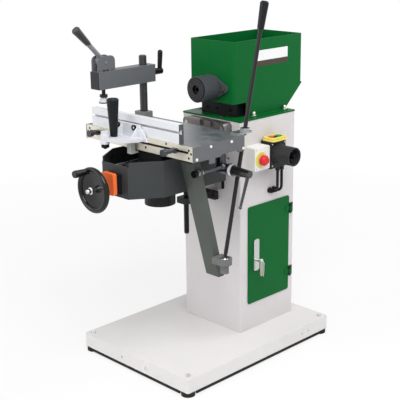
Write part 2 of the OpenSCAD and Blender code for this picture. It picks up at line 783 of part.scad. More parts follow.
module handle_bracket() {
  color("#e2e1dc") {
    box(-112, 40, table_y0, fence_y, table_z, table_z + 26);
    xz_plate(table_y0 - 6, table_y0, [[-112, table_z - 15], [62, table_z - 15], [52, table_z + 2],
      [18, table_z + 40], [-106, table_z + 40], [-112, table_z + 34]]);
    box(-106, 18, table_y0 - 1, fence_y, table_z + 25, table_z + 40);
    translate([0, 0, table_z - 15]) linear_extrude(12) polygon([[-112, table_y0 - 2], [40, table_y0 - 2],
      [40, table_y0 - 20], [14, table_y0 - 66], [-44, table_y0 - 92], [-84, table_y0 - 96],
      [-112, table_y0 - 40]]);
    rod_z(-70, table_y0 - 87, table_z - 25, table_z + 8, 16.5);
    rod_z(-70, table_y0 - 87, table_z + 7, table_z + 20, 13.5);
    hex_z(-70, table_y0 - 87, table_z - 38, table_z - 24, 13);
    yz_plate(-76, -66, [[table_y0 - 4, table_z + 36], [table_y0 - 4, table_z - 6], [table_y0 - 40, table_z - 6]]);
    yz_plate(6, 16, [[table_y0 - 4, table_z + 36], [table_y0 - 4, table_z - 6], [table_y0 - 34, table_z - 6]]);
    for (x = [-91, -2]) rod_y(x, table_y0 - 11, table_y0 - 5, table_z + 30, 10);
  }
}

module front_grip() {
  color("#161618") translate([-62, table_y0 - 52, table_z - 3]) {
    cylinder(h = 132, r1 = 13, r2 = 22);
    translate([0, 0, 131]) cylinder(h = 5, r1 = 22, r2 = 19);
  }
}

module clamp_foot() {
  color("#a9abad") difference() {
    round_box(post_x - 29, post_x + 29, post_y - 26, post_y + 22, table_z, foot_z, 6);
    rod_z(post_x, post_y, table_z + 4, foot_z + 1, 10 + run_gap);
  }
}

module slot_stop(x, l) {
  color("#1c1c1e") {
    box(x - 9, x + 9, table_y0 - 9, table_y0 - slide_gap, slot_z - 9, slot_z + 9);
    rod_y(x, table_y0 - l, table_y0 - 8, slot_z, 8);
    rod_y(x, table_y0 - l - 14, table_y0 - l + 1, slot_z, knob_r);
    box(x - 4, x + 4, table_y0 - 1, table_y0 + 8, slot_z - slot_w / 2 + slide_gap, slot_z + slot_w / 2 - slide_gap);
    box(x - 8, x + 8, table_y0 + 8 + slide_gap, table_y0 + 13 - slide_gap, slot_z - slot_w / 2 - 4 + slide_gap,
      slot_z + slot_w / 2 + 4 - slide_gap);
    box(x - 4, x + 4, table_y0 + 7, table_y0 + 9, slot_z - slot_w / 2 + slide_gap, slot_z + slot_w / 2 - slide_gap);
  }
}

module stop_left() {
  slot_stop(-220, 28);
}

module stop_right() {
  slot_stop(200, 46);
}

// Clamp

module clamp_post() {
  color("#a2a4a6") {
    rod_z(post_x, post_y, table_z + 4, foot_z + 1, 10);
    rod_z(post_x, post_y, foot_z, arm_top + 34, post_r);
    translate([post_x, post_y, arm_top + 34]) cylinder(h = 4, r1 = post_r, r2 = post_r - 4);
  }
}

module clamp_arm() {
  ax = arm_w / 2;
  color("#2c2e31") difference() {
    union() {
      difference() {
        box(post_x - ax, post_x + ax, arm_y0, arm_y1, arm_z, arm_top);
        box(post_x - ax + 4, post_x + ax - 4, arm_y0 + 4, arm_y1 - 8, arm_z + 4, arm_top - 4);
      }
      rod_z(post_x, post_y, arm_z + 1, arm_top - 1, post_r + 4);
      rod_z(post_x, plunger_y, arm_z + 1, arm_top - 1, 12);
      for (x = [post_x - ear_x, post_x + ear_x - ear_t]) {
        box(x, x + ear_t, arm_y0 + 2, arm_y0 + 82, arm_top - 1, arm_top + 36);
        box(x, x + ear_t, arm_y0 + 22, arm_y0 + 62, arm_top + 35, arm_top + 56);
        for (y = [arm_y0 + 22, arm_y0 + 62]) rod_x(x, x + ear_t, y, arm_top + 36, 20);
      }
    }
    box(post_x - ax - 1, post_x + ax + 1, arm_y0 + 24, arm_y0 + 68, arm_top, arm_top + 6);
    rod_z(post_x, post_y, arm_z - 1, arm_top + 1, post_r + run_gap);
    rod_z(post_x, plunger_y, arm_z - 1, arm_top + 1, 7 + run_gap);
    rod_x(post_x - ax - 1, post_x + ax + 1, plunger_y, cam_z, 6 + run_gap);
    rod_y(post_x, arm_y1 - 9, arm_y1 + 1, arm_z + 33, 5 + run_gap);
  }
}

module ratchet_lever() {
  color("#1a1a1c") {
    rod_y(post_x, arm_y1 + slide_gap, arm_y1 + 52, arm_z + 33, 12.5);
    rod_y(post_x, arm_y1 - 7, arm_y1 + 2, arm_z + 33, 5);
    translate([post_x, arm_y1 + 43, arm_z + 33]) rotate([-4, 0, 0]) {
      cylinder(h = 72, r1 = 8.5, r2 = 10);
      translate([0, 0, 72]) sphere(r = 10);
    }
  }
}

module cam_lever() {
  color("#3a3b3e") translate([post_x, plunger_y, cam_z]) {
    rod_x(-ear_x - 2, ear_x + 2, 0, 0, 6);
    rod_x(-12, 12, cam_e * cos(150), cam_e * sin(150), cam_r);
    translate([0, 4, 4]) rotate([cam_a - 90, 0, 0]) {
      cylinder(h = 98, r = 9);
      translate([0, 0, 94]) cylinder(h = 76, r1 = 11, r2 = 16);
      translate([0, 0, 169]) cylinder(h = 5, r1 = 16, r2 = 13.5);
    }
  }
}

module plunger() {
  color("#26282a") {
    rod_z(post_x, plunger_y, head_z - 3, head_z, 11);
    rod_z(post_x, plunger_y, arm_z - 30, head_z - 1, 7);
    rod_z(post_x, plunger_y, arm_z - 32, arm_z - 22, 15);
    translate([post_x, plunger_y, arm_z - 50]) cylinder(h = 19, r1 = 19, r2 = 9);
    rod_z(post_x, plunger_y, arm_z - 54, arm_z - 50, 19);
  }
}

// Long lever

module at_pivot() {
  translate([lever_x, pivot_y, pivot_z]) rotate([-tilt, 0, 0]) children();
}

module pivot_ball() {
  color("#9a9c9f") at_pivot() {
    difference() {
      sphere(r = ball_r);
      box(-12.5, 12.5, -6 - slide_gap, 6 + slide_gap, -9, ball_r + 1);
    }
    rod_y(0, -8, 8, 0, 4);
    both_sides() rod_x(ball_r - 4, ball_r + 7, 0, 0, 4);
  }
}

module main_lever() {
  color("#1b1b1d") at_pivot() difference() {
    union() {
      rod_y(0, -6, 6, 0, 8);
      cylinder(h = 30, r = 6);
      translate([0, 0, 24]) cylinder(h = 8, r1 = 6, r2 = lever_r);
      translate([0, 0, 32]) cylinder(h = lever_l - 36, r = lever_r);
    }
    rod_y(0, -7, 7, 0, 4 + run_gap);
  }
}

module lever_grip() {
  color("#141416") at_pivot() difference() {
    union() {
      translate([0, 0, lever_l - 98]) cylinder(h = 92, r1 = 12.5, r2 = 16);
      translate([0, 0, lever_l - 6]) cylinder(h = 6, r1 = 16, r2 = 11);
    }
    translate([0, 0, lever_l - 99]) cylinder(h = 95, r = lever_r);
  }
}

// Door

module door() {
  color("#19693b") {
    round_plate(cw + 0.5, cw + 0.5 + door_t, door_y0, door_y1, door_z0, door_z1, 9);
    for (z = hinge_z) difference() {
      union() {
        rod_z(hinge_x, hinge_y, z - 10 + slide_gap, z + 10 - slide_gap, 5);
        box(cw + door_t, hinge_x - 1, door_y1 - 24, hinge_y - 1, z - 10 + slide_gap, z + 10 - slide_gap);
      }
      rod_z(hinge_x, hinge_y, z - 11, z + 11, 2.5 + run_gap);
    }
  }
}

module lock_plate() {
  px = cw + 0.5 + door_t;
  color("#bfc0c2") difference() {
    round_plate(px, px + 6, lock_py - 15, lock_py + 15, lock_pz - 44, lock_pz + 85, 8);
    rod_x(px + 1, px + 7, lock_py, lock_pz, 6 + run_gap);
  }
}

module door_lock() {
  px = cw + 0.5 + door_t;
  color("#3b3c3f") {
    rod_x(px + 1.2, px + 32, lock_py, lock_pz, 6);
    box(px + 26, px + 36, lock_py - 6, lock_py + 6, lock_pz - 62, lock_pz + 8);
  }
}

// Buttons

module estop_button() {
  color("#c8252c") {
    rod_x(cw + 40, cw + 64, box_y + 33, box_z + 42, 9);
    rod_x(cw + 63, cw + 74, box_y + 33, box_z + 42, 20);
    translate([cw + 74, box_y + 33, box_z + 42]) rotate([0, 90, 0]) cylinder(h = 8, r1 = 20, r2 = 14);
  }
}

module push_button(y) {
  rod_z(cw + 33, y, body_z + 111, body_z + 121, 11);
  rod_z(cw + 33, y, body_z + 95, body_z + 112, 5);
}

module stop_button() {
  color("#c9302f") push_button(body_y + 24);
}

module start_button() {
  color("#2f8f4e") push_button(body_y + 66);
}

base_plate();
rubber_feet();
stand_fasteners();
column_shell();
guide_frame();
guide_rails();
lift_nut();
top_plate();
hood();
motor();
spindle_housing();
estop_box();
switch_body();
switch_collar();
power_inlet();
cable_glands();
switch_cables();
hinge_leaves();
chuck();
chuck_jaws();
knee_housing();
knee_slide();
y_rods();
dust_spout();
lever_arm();
lever_socket();
indicator();
stop_rod();
lifting_screw();
handwheel();
wheel_shaft();
crank_grip();
saddle();
lock_sleeve();
lock_lever();
table_top();
x_rods();
end_plates();
table_fasteners();
fence();
lever_tab();
handle_bracket();
front_grip();
clamp_foot();
stop_left();
stop_right();
clamp_post();
clamp_arm();
ratchet_lever();
cam_lever();
plunger();
pivot_ball();
main_lever();
lever_grip();
door();
lock_plate();
door_lock();
estop_button();
stop_button();
start_button();
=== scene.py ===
import math
import bpy
import bmesh
from mathutils import Matrix, Vector


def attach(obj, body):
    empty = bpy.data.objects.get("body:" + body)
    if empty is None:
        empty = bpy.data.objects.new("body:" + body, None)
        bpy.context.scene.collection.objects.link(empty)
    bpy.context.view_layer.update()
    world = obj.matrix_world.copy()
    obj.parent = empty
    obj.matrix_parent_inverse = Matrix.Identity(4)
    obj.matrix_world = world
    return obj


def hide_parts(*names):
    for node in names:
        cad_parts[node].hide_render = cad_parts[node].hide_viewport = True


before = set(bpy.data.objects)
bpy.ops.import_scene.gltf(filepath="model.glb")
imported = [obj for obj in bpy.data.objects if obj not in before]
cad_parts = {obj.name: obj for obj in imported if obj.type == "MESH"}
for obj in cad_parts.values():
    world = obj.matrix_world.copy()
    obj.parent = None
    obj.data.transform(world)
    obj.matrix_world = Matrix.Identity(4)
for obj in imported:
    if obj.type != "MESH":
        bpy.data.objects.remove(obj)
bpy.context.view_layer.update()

MM_PER_M = 1000


# Materials

EDGE_RADIUS = 0.001        # of softened edges, in metres
EDGE_SAMPLES = 4
COAT_ROUGHNESS = 0.06
MIDDLE = (0.3, 0.7)        # where most values of a noise lie
WAVE_RADIANS = 20          # per metre, in a wave texture of scale 1
MIX_FACTOR, MIX_A, MIX_B, MIX_RESULT = 0, 6, 7, 2    # sockets of a colour mix


def lin(*c):
    """Linear colour of an 8-bit sRGB screen colour."""
    return tuple(((v / 255 + 0.055) / 1.055) ** 2.4 if v > 10 else v / 255 / 12.92 for v in c)


def shade(c, k):
    """A colour made k times as light."""
    return tuple(min(1.0, v * k) for v in c)


def zone(c, **limits):
    """A region with a colour of its own, within limits of x, y or z in millimetres."""
    return limits, c


class Mat:
    """A node material around one Principled shader, in object coordinates, with softened edges."""

    def __init__(self, name, rough, metallic=0.0, spec=0.5, coat=0.0, edge=EDGE_RADIUS):
        self.material = bpy.data.materials.new(name)
        self.material.use_nodes = True
        self.tree = self.material.node_tree
        self.shader = self.tree.nodes["Principled BSDF"]
        for socket, value in (("Metallic", metallic), ("Roughness", rough), ("Specular IOR Level", spec),
                              ("Coat Weight", coat), ("Coat Roughness", COAT_ROUGHNESS)):
            self.shader.inputs[socket].default_value = value
        self.co = self.node("ShaderNodeTexCoord").outputs["Object"]
        self.xyz = self.node("ShaderNodeSeparateXYZ")
        self.link(self.co, self.xyz.inputs[0])
        self.normal = None
        if edge:
            bevel = self.node("ShaderNodeBevel", {"Radius": edge}, samples=EDGE_SAMPLES)
            self.normal = bevel.outputs["Normal"]

    def node(self, kind, values=None, **props):
        """A new node with these input values and properties."""
        n = self.tree.nodes.new(kind)
        for prop, value in props.items():
            setattr(n, prop, value)
        for socket, value in (values or {}).items():
            n.inputs[socket].default_value = value
        return n

    def link(self, a, b):
        self.tree.links.new(a, b)

    def stretch(self, x, y, z):
        n = self.node("ShaderNodeMapping", {"Scale": (x, y, z)})
        self.link(self.co, n.inputs["Vector"])
        return n.outputs["Vector"]

    def noise(self, scale, detail, rough=0.55, vec=None):
        n = self.node("ShaderNodeTexNoise", {"Scale": scale, "Detail": detail, "Roughness": rough})
        self.link(vec or self.co, n.inputs["Vector"])
        return n.outputs["Fac"]

    def bands(self, axis, pitch):
        """Even ridges along an axis, for a thread. The pitch is in metres."""
        n = self.node("ShaderNodeTexWave", {"Scale": 2 * math.pi / WAVE_RADIANS / pitch, "Distortion": 0.0},
                      wave_type="BANDS", bands_direction=axis, wave_profile="SIN")
        self.link(self.co, n.inputs["Vector"])
        return n.outputs["Fac"]

    def ramp(self, fac, lo, hi, a=0.0, b=1.0):
        """A value from lo to hi, brought to the range from a to b."""
        n = self.node("ShaderNodeMapRange", {"From Min": lo, "From Max": hi, "To Min": a, "To Max": b})
        self.link(fac, n.inputs["Value"])
        return n.outputs["Result"]

    def math(self, op, a, b):
        n = self.node("ShaderNodeMath", operation=op)
        for i, v in enumerate((a, b)):
            if isinstance(v, (int, float)):
                n.inputs[i].default_value = v
            else:
                self.link(v, n.inputs[i])
        return n.outputs[0]

    def inside(self, **limits):
        """1 within the limits of x, y and z in millimetres, 0 outside."""
        out = None
        for k, pair in limits.items():
            for op, v in zip(("GREATER_THAN", "LESS_THAN"), pair):
                if v is not None:
                    t = self.math(op, self.xyz.outputs["xyz".index(k)], v / MM_PER_M)
                    out = t if out is None else self.math("MULTIPLY", out, t)
        return out

    def mix(self, fac, a, b):
        n = self.node("ShaderNodeMix", data_type="RGBA")
        self.link(fac, n.inputs[MIX_FACTOR])
        for i, v in ((MIX_A, a), (MIX_B, b)):
            if isinstance(v, tuple):
                n.inputs[i].default_value = (*v, 1.0)
            else:
                self.link(v, n.inputs[i])
        return n.outputs[MIX_RESULT]

    def bump(self, height, strength, dist):
        n = self.node("ShaderNodeBump", {"Strength": strength, "Distance": dist})
        self.link(height, n.inputs["Height"])
        if self.normal is not None:
            self.link(self.normal, n.inputs["Normal"])
        self.normal = n.outputs["Normal"]

    def body(self, c, zones, lo, hi):
        """Cloudy body colour, with zones of other colours under the same clouds."""
        cloud = self.ramp(self.noise(scale=5, detail=5), *MIDDLE)
        col = self.mix(cloud, shade(c, lo), shade(c, hi))
        for limits, own in zones:
            col = self.mix(self.inside(**limits), col, self.mix(cloud, shade(own, lo), shade(own, hi)))
        return col

    def uneven(self, scale, least, most):
        """Roughness that wanders between two values."""
        return self.ramp(self.noise(scale, detail=4), *MIDDLE, least, most)

    def done(self, color, rough=None):
        self.link(color, self.shader.inputs["Base Color"])
        if rough is not None:
            self.link(rough, self.shader.inputs["Roughness"])
        if self.normal is not None:
            self.link(self.normal, self.shader.inputs["Normal"])
        return self.material


def paint(name, c, rough, peel=0.05, grime=0.1, spec=0.2, zones=()):
    """Sprayed enamel: faint orange peel, cloudy tone and fine dust."""
    m = Mat(name, rough, spec=spec)
    col = m.body(c, zones, lo=0.965, hi=1.025)
    dust = m.ramp(m.noise(scale=34, detail=6, rough=0.7), 0.55, 0.82, 0.0, grime)
    col = m.mix(dust, col, shade(c, 0.7))
    m.bump(m.noise(scale=420, detail=2), peel, dist=0.0006)
    return m.done(col, m.uneven(9, rough - 0.05, rough + 0.07))


def cast(name, c, rough, grain=0.16, spec=0.16, zones=()):
    """Painted casting or plate: grainy skin under the paint, darker in the pores."""
    m = Mat(name, rough, spec=spec)
    col = m.body(c, zones, lo=0.94, hi=1.05)
    pores = m.ramp(m.noise(scale=90, detail=4), 0.6, 0.85, 0.0, 0.22)
    col = m.mix(pores, col, shade(c, 0.72))
    m.bump(m.noise(scale=260, detail=3), grain, dist=0.0007)
    return m.done(col, m.uneven(14, rough - 0.07, rough + 0.08))


def metal(name, c, rough, along=(1, 1, 1), streak=260, tone=0.1, scratch=0.08, thread=None, zones=()):
    """Machined or ground metal with tool marks along one direction, and a thread where it has one."""
    m = Mat(name, rough, metallic=1.0)
    lines = m.noise(streak, detail=4, rough=0.6, vec=m.stretch(*along))
    col = m.body(c, zones, lo=0.95, hi=1.03)
    col = m.mix(m.ramp(lines, 0.35, 0.7, 0.0, tone * 3), col, shade(c, 0.8))
    m.bump(lines, scratch, dist=0.0004)
    if thread:
        m.bump(m.bands(*thread), strength=0.9, dist=0.0012)
    return m.done(col, m.uneven(22, rough - 0.07, rough + 0.09))


def plastic(name, c, rough, grain=300, bump=0.06, spec=0.2, scuff=0.08, coat=0.0, zones=()):
    """Moulded plastic with a fine grain and light scuffs."""
    m = Mat(name, rough, spec=spec, coat=coat)
    col = m.body(c, zones, lo=0.95, hi=1.04)
    rub = m.ramp(m.noise(scale=70, detail=5, rough=0.7, vec=m.stretch(1, 1, 5)), 0.62, 0.88, 0.0, scuff)
    col = m.mix(rub, col, tuple(x * 0.6 + 0.08 for x in c))
    m.bump(m.noise(grain, detail=2), bump, dist=0.0005)
    return m.done(col, m.uneven(18, max(0.04, rough - 0.07), rough + 0.09))


BASE, GREEN, BLACK = lin(225, 222, 222), lin(4, 97, 42), lin(26, 27, 29)
BRIGHT, PALE, ROD = lin(206, 208, 208), lin(240, 241, 243), lin(200, 202, 204)
FENCE_END = lin(78, 80, 84)
M = {
    "base_plate": paint("base_enamel", BASE, 0.42, grime=0.08),
    "rubber_feet": plastic("foot_rubber", lin(30, 30, 31), 0.75, grain=420, bump=0.3, spec=0.3, scuff=0.25),
    "stand_fasteners": metal("zinc_plate", lin(214, 214, 208), 0.32, streak=120, zones=[
        zone(BASE, z=(None, 100)),
        zone(BLACK, x=(-60, 60), z=(900, 935)),
        zone(lin(150, 150, 152), z=(1000, None))]),
    "column_shell": paint("column_enamel", lin(216, 212, 213), 0.4, grime=0.05),
    "guide_frame": metal("machined_casting", lin(142, 140, 141), 0.4, (5, 5, 0.4), streak=150, tone=0.14),
    "guide_rails": cast("black_rail", BLACK, 0.4),
    "lift_nut": cast("nut_bracket_paint", lin(46, 47, 48), 0.45),
    "top_plate": paint("plate_green", GREEN, 0.36, spec=0.1),
    "hood": paint("hood_green", GREEN, 0.36, spec=0.1),
    "motor": cast("motor_black", lin(27, 28, 30), 0.42),
    "spindle_housing": cast("housing_satin", lin(72, 75, 79), 0.36, grain=0.1),
    "estop_box": plastic("box_pale_plastic", lin(240, 239, 236), 0.45, bump=0.05, scuff=0.04, zones=[
        zone(lin(228, 222, 124), x=(206.2, None))]),
    "switch_body": plastic("switch_black", lin(38, 40, 42), 0.4),
    "switch_collar": plastic("collar_yellow", lin(246, 228, 112), 0.4, zones=[
        zone(BLACK, z=(841.5, 842.5))]),
    "power_inlet": plastic("inlet_grey_black", lin(50, 51, 54), 0.45),
    "cable_glands": plastic("gland_black", BLACK, 0.45),
    "switch_cables": plastic("cable_sheath", lin(28, 28, 29), 0.5, grain=500, bump=0.12),
    "hinge_leaves": cast("hinge_black", lin(34, 40, 36), 0.4),
    "chuck": metal("chuck_blackened", lin(66, 66, 68), 0.34, streak=90),
    "chuck_jaws": metal("jaw_blackened", lin(60, 60, 63), 0.3),
    "knee_housing": cast("knee_grey", lin(62, 65, 66), 0.42, grain=0.1),
    "knee_slide": cast("slide_grey", lin(100, 101, 100), 0.42, grain=0.1),
    "y_rods": metal("rod_ground_y", ROD, 0.22, (6, 0.4, 6)),
    "dust_spout": plastic("spout_black", lin(32, 32, 33), 0.42),
    "lever_arm": cast("arm_grey", lin(86, 92, 87), 0.42, grain=0.08),
    "lever_socket": cast("socket_grey", lin(112, 114, 113), 0.42, grain=0.1),
    # Its back is black: the real black flange, and in front of it painted shade of the gap, laid over the
    # rear of the orange body
    "indicator": plastic("indicator_orange", lin(255, 116, 56), 0.32, zones=[
        zone(BLACK, y=(-474, None))]),
    "stop_rod": metal("stop_rod_steel", lin(104, 106, 112), 0.3, thread=("Y", 0.002), zones=[
        zone(BLACK, y=(None, -266.5)),
        zone(BRIGHT, y=(-261.2, -236.5))]),
    "lifting_screw": metal("screw_black", lin(52, 52, 54), 0.36),
    "handwheel": plastic("wheel_black_gloss", lin(10, 10, 11), 0.16, grain=120, bump=0.02, spec=0.3,
                         scuff=0.03, coat=0.12),
    "wheel_shaft": metal("shaft_steel", lin(206, 208, 210), 0.22, (6, 0.4, 6)),
    "crank_grip": plastic("crank_black_gloss", lin(20, 20, 22), 0.2, grain=200, bump=0.04, spec=0.4,
                          coat=0.15),
    "saddle": cast("saddle_black", lin(42, 43, 44), 0.45, zones=[
        zone(lin(204, 207, 204), y=(None, -340))]),
    "lock_sleeve": metal("sleeve_steel", lin(92, 97, 106), 0.3, (0.5, 5, 5), zones=[
        zone(BRIGHT, y=(None, -132.4))]),
    "lock_lever": plastic("lock_black_gloss", lin(26, 26, 28), 0.18, grain=160, bump=0.03, spec=0.6, coat=0.4,
                          zones=[zone(PALE, x=(235, 249.6))]),
    "table_top": metal("table_metal", lin(222, 217, 203), 0.46, (0.25, 5, 5), streak=180, tone=0.08,
                       scratch=0.1, zones=[
        # Painted shade: the inside of the T-slot in the front rail is coloured black
        zone(BLACK, y=(-349.4, -330), z=(881, 899)),
        zone(lin(142, 145, 153), y=(-343, None), z=(909.7, None))]),
    "x_rods": metal("rod_ground_x", ROD, 0.22, (0.4, 6, 6)),
    "end_plates": cast("end_plate_grey", lin(104, 105, 108), 0.42, grain=0.06),
    "table_fasteners": paint("white_screws", lin(236, 236, 234), 0.3, peel=0.03, grime=0.04),
    "fence": paint("fence_white", lin(222, 224, 228), 0.42, grime=0.04, zones=[
        zone(FENCE_END, x=(211.8, None)),
        zone(FENCE_END, x=(None, -257.8))]),
    "lever_tab": metal("tab_zinc", lin(170, 172, 174), 0.36, (0.4, 5, 5)),
    "handle_bracket": cast("bracket_white", lin(216, 218, 224), 0.46, grain=0.14),
    "front_grip": plastic("grip_black", lin(20, 24, 27), 0.34, grain=200, bump=0.08),
    "clamp_foot": cast("foot_grey", lin(124, 128, 124), 0.42, grain=0.08),
    "stop_left": cast("stop_black", lin(48, 50, 56), 0.24, grain=0.04, spec=0.6),
    "clamp_post": cast("post_dark", lin(47, 47, 48), 0.32, grain=0.04, spec=0.5),
    "clamp_arm": cast("clamp_grey", lin(104, 107, 110), 0.42, grain=0.08),
    "ratchet_lever": plastic("ratchet_black", lin(24, 24, 26), 0.3, grain=220),
    "cam_lever": cast("cam_steel", lin(122, 123, 130), 0.3, grain=0.05, spec=0.5, zones=[
        zone(lin(46, 46, 48), z=(1212.5, None))]),
    "plunger": cast("plunger_black", lin(40, 41, 43), 0.34, grain=0.06, zones=[
        zone(lin(206, 204, 208), z=(995.5, 1012.6))]),
    "pivot_ball": metal("ball_steel", lin(176, 178, 180), 0.25),
    "main_lever": paint("lever_black", lin(32, 31, 34), 0.3, peel=0.04, grime=0.06, spec=0.25),
    "lever_grip": plastic("lever_grip_black", lin(22, 24, 27), 0.3, grain=200, bump=0.08),
    "door": paint("door_green", GREEN, 0.36, spec=0.1),
    "lock_plate": metal("lock_chrome", lin(204, 208, 205), 0.3, (5, 5, 0.4)),
    "estop_button": plastic("estop_red", lin(222, 46, 52), 0.35),
    "stop_button": plastic("stop_red", lin(214, 60, 62), 0.35),
    "start_button": plastic("start_green", lin(40, 150, 80), 0.35),
}
M["stop_right"] = M["stop_left"]
M["door_lock"] = M["lock_plate"]
for name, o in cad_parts.items():
    o.data.materials.clear()
    o.data.materials.append(M[name])


# Makers of small pieces, in millimetres

RIGHT, FRONT, BACK, DOWN = (1, 0, 0), (0, -1, 0), (0, 1, 0), (0, 0, -1)
SIDES, FEW_SIDES = 36, 24      # of a turned piece and of a small one
HEX = True                     # marks a ring of a turned piece as a hexagon
CORNER_STEPS = 5               # round each corner of a plate
LEAST_CORNER = 0.05


def mm(*v):
    return Vector(v) / MM_PER_M


def loft(loops, bm=None):
    """Closed skin over loops with the same number of points."""
    if bm is None:
        bm = bmesh.new()
    vs = [[bm.verts.new(p) for p in loop] for loop in loops]
    n = len(vs[0])
    for a, b in zip(vs, vs[1:]):
        for i in range(n):
            bm.faces.new((a[i], a[(i + 1) % n], b[(i + 1) % n], b[i]))
    bm.faces.new(vs[0][::-1])
    bm.faces.new(vs[-1])
    return bm


def turned(rings, at, axis, sides=SIDES, bm=None):
    """Turned piece. A ring is (radius, height), or (half across flats, height, HEX)."""
    q = Vector(axis).to_track_quat("Z", "Y")
    loops = []
    for radius, height, *flats in rings:
        loop = []
        for i in range(sides):
            a = 2 * math.pi * i / sides
            r = radius / math.cos((a + math.pi / 6) % (math.pi / 3) - math.pi / 6) if flats else radius
            loop.append(mm(*at) + q @ mm(r * math.cos(a), r * math.sin(a), height))
        loops.append(loop)
    return loft(loops, bm)


def slab(width, height, thick, corner, at, axis, chamfer=0.4, bm=None):
    """Upright plate with rounded corners, thick along axis, with a chamfer round its outer face."""
    z = Vector(axis).normalized()
    y = Vector((0, 0, 1))
    x = y.cross(z)

    def loop(inset, level):
        pts = []
        k = max(corner - inset, LEAST_CORNER)
        for sx, sy, start in ((1, 1, 0), (-1, 1, 90), (-1, -1, 180), (1, -1, 270)):
            for j in range(CORNER_STEPS + 1):
                a = math.radians(start + j * 90 / CORNER_STEPS)
                px = sx * (width / 2 - inset - k) + k * math.cos(a)
                py = sy * (height / 2 - inset - k) + k * math.sin(a)
                pts.append(mm(*at) + (x * px + y * py + z * level) / MM_PER_M)
        return pts
    return loft([loop(0, 0), loop(0, thick - chamfer), loop(chamfer, thick)], bm)


def socket_screw(r, h, bm, at, axis):
    """Cap screw head with a chamfer and a hexagon socket."""
    chamfer, socket, depth = 0.8, r * 0.48, 1.8
    rings = [(r, 0), (r, h - chamfer), (r - chamfer, h), (socket, h, HEX), (socket, h - depth, HEX)]
    return turned(rings, at, axis, bm=bm)


def pan_screw(r, h, bm, at, axis):
    """Low round screw head with a hexagon socket."""
    socket = r * 0.36
    rings = [(r, 0), (r, h * 0.4), (r * 0.85, h * 0.8), (r * 0.5, h)]
    rings += [(socket, h, HEX), (socket, h * 0.5, HEX)]
    return turned(rings, at, axis, FEW_SIDES, bm)


def turned_cap(r, h, bm, at, axis):
    """Round cap with a bevelled top."""
    return turned([(r, 0), (r, h * 0.5), (r * 0.6, h)], at, axis, FEW_SIDES, bm)


def several(make, places, axis, radius, height):
    """The same turned piece at several places."""
    bm = bmesh.new()
    for at in places:
        make(radius, height, bm, at, axis)
    return bm


def into_scene(name, data):
    o = bpy.data.objects.new(name, data)
    bpy.context.scene.collection.objects.link(o)
    return o


def mesh_object(name, bm, mat):
    me = bpy.data.meshes.new(name)
    bm.to_mesh(me)
    bm.free()
    me.materials.append(mat)
    return into_scene(name, me)


def add(name, bm, mat, body, sharp=32):
    """A new piece on a body, smooth except for edges sharper than so many degrees."""
    bmesh.ops.recalc_face_normals(bm, faces=bm.faces)
    o = mesh_object(name, bm, mat)
    for p in o.data.polygons:
        p.use_smooth = True
    o.data.set_sharp_from_angle(angle=math.radians(sharp))
    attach(o, body)
    return o


# Screws, caps and plates

black_screw = metal("screw_blackened", lin(44, 44, 46), 0.3)
bright_screw = metal("screw_zinc", lin(210, 210, 206), 0.3)

BRACKET_HOLES = ((-91, 940), (-2, 940))      # x, z
BRACKET_FACE_Y, CAP_SEAT_Y = -356, -361.2
holes = [(x, BRACKET_FACE_Y, z) for x, z in BRACKET_HOLES]
add("bracket_screws", several(socket_screw, holes, FRONT, radius=10.3, height=7.2),
    black_screw, "table")
holes = [(x, CAP_SEAT_Y, z) for x, z in BRACKET_HOLES]
add("bracket_screw_caps", several(turned_cap, holes, FRONT, radius=4.6, height=1.6),
    bright_screw, "table")
nut = [(13.6, 0, HEX), (13.6, 12.5, HEX), (12.4, 14.2), (6, 14.2), (6, 18), (4.5, 19)]
add("bracket_nut", turned(nut, (-70, -437, 885.4), DOWN), black_screw, "table")

SWITCH_FACE_X, BOX_FACE_X = 205, 206
holes = [(SWITCH_FACE_X, y, z) for y in (149, 218) for z in (739, 823)]
add("switch_screws", several(pan_screw, holes, RIGHT, radius=3.4, height=2.2),
    bright_screw, "stand", sharp=40)
holes = [(BOX_FACE_X, y, z) for y in (57, 124) for z in (743, 817)]
add("estop_box_screws", several(pan_screw, holes, RIGHT, radius=3, height=1.6),
    plastic("screw_caps", lin(214, 213, 210), 0.5), "stand", sharp=40)

MOTOR_BASE_Y, MOTOR_BASE_Z = 67, 948
holes = [(x, MOTOR_BASE_Y, MOTOR_BASE_Z) for x in (-60, -8, 60)]
add("motor_base_screws", several(socket_screw, holes, FRONT, radius=5, height=5),
    black_screw, "stand")

# Dark plate on the clamp arm's front end: painted shade of that end face
end_shade_plate = slab(width=46.5, height=64.5, thick=2.6, corner=3, at=(-238, -338, 1078), axis=FRONT)
add("clamp_end_shade_plate", end_shade_plate, plastic("end_shade_black", lin(46, 46, 49), 0.45), "clamp")

RAIL_FACE_Y = -348
RAIL_END_HOLES = ((267, 899), (278, 888), (267, 872))      # x, z at either end
RAIL_HOLES = ((155, 905), (48, 875))                       # x, z between them
holes = [(side * x, RAIL_FACE_Y, z) for side in (-1, 1) for x, z in RAIL_END_HOLES]
holes += [(x, RAIL_FACE_Y, z) for x, z in RAIL_HOLES]
add("rail_screws", several(socket_screw, holes, FRONT, radius=4.9, height=2.25),
    black_screw, "table")

stud = [(13, 0), (13, 3), (8.6, 4), (8.6, 16), (7.2, 18.4), (3, 19.4)]
add("wheel_stud", turned(stud, (0, -563, 751), FRONT), M["wheel_shaft"], "wheel")

PLATE_DARK_Z = 1129        # the plate is dark below, pale above
plate = paint("blank_plate", lin(240, 240, 240), 0.35, peel=0.03, grime=0.03, zones=[
    zone(lin(72, 62, 54), z=(None, PLATE_DARK_Z))])
add("blank_plate", slab(width=178, height=60, thick=0.9, corner=2, at=(115, 246, 1138), axis=RIGHT),
    plate, "stand")


# Thread ridge of the lifting screw, fading in and out over its first and last turn

SCREW_Y, THREAD_FOOT_Z = -112, 491
THREAD_PITCH, THREAD_TURNS, TURN_STEPS = 4.0, 53, 24
ROOT_RADIUS, CREST_RADIUS = 8.8, 10.1
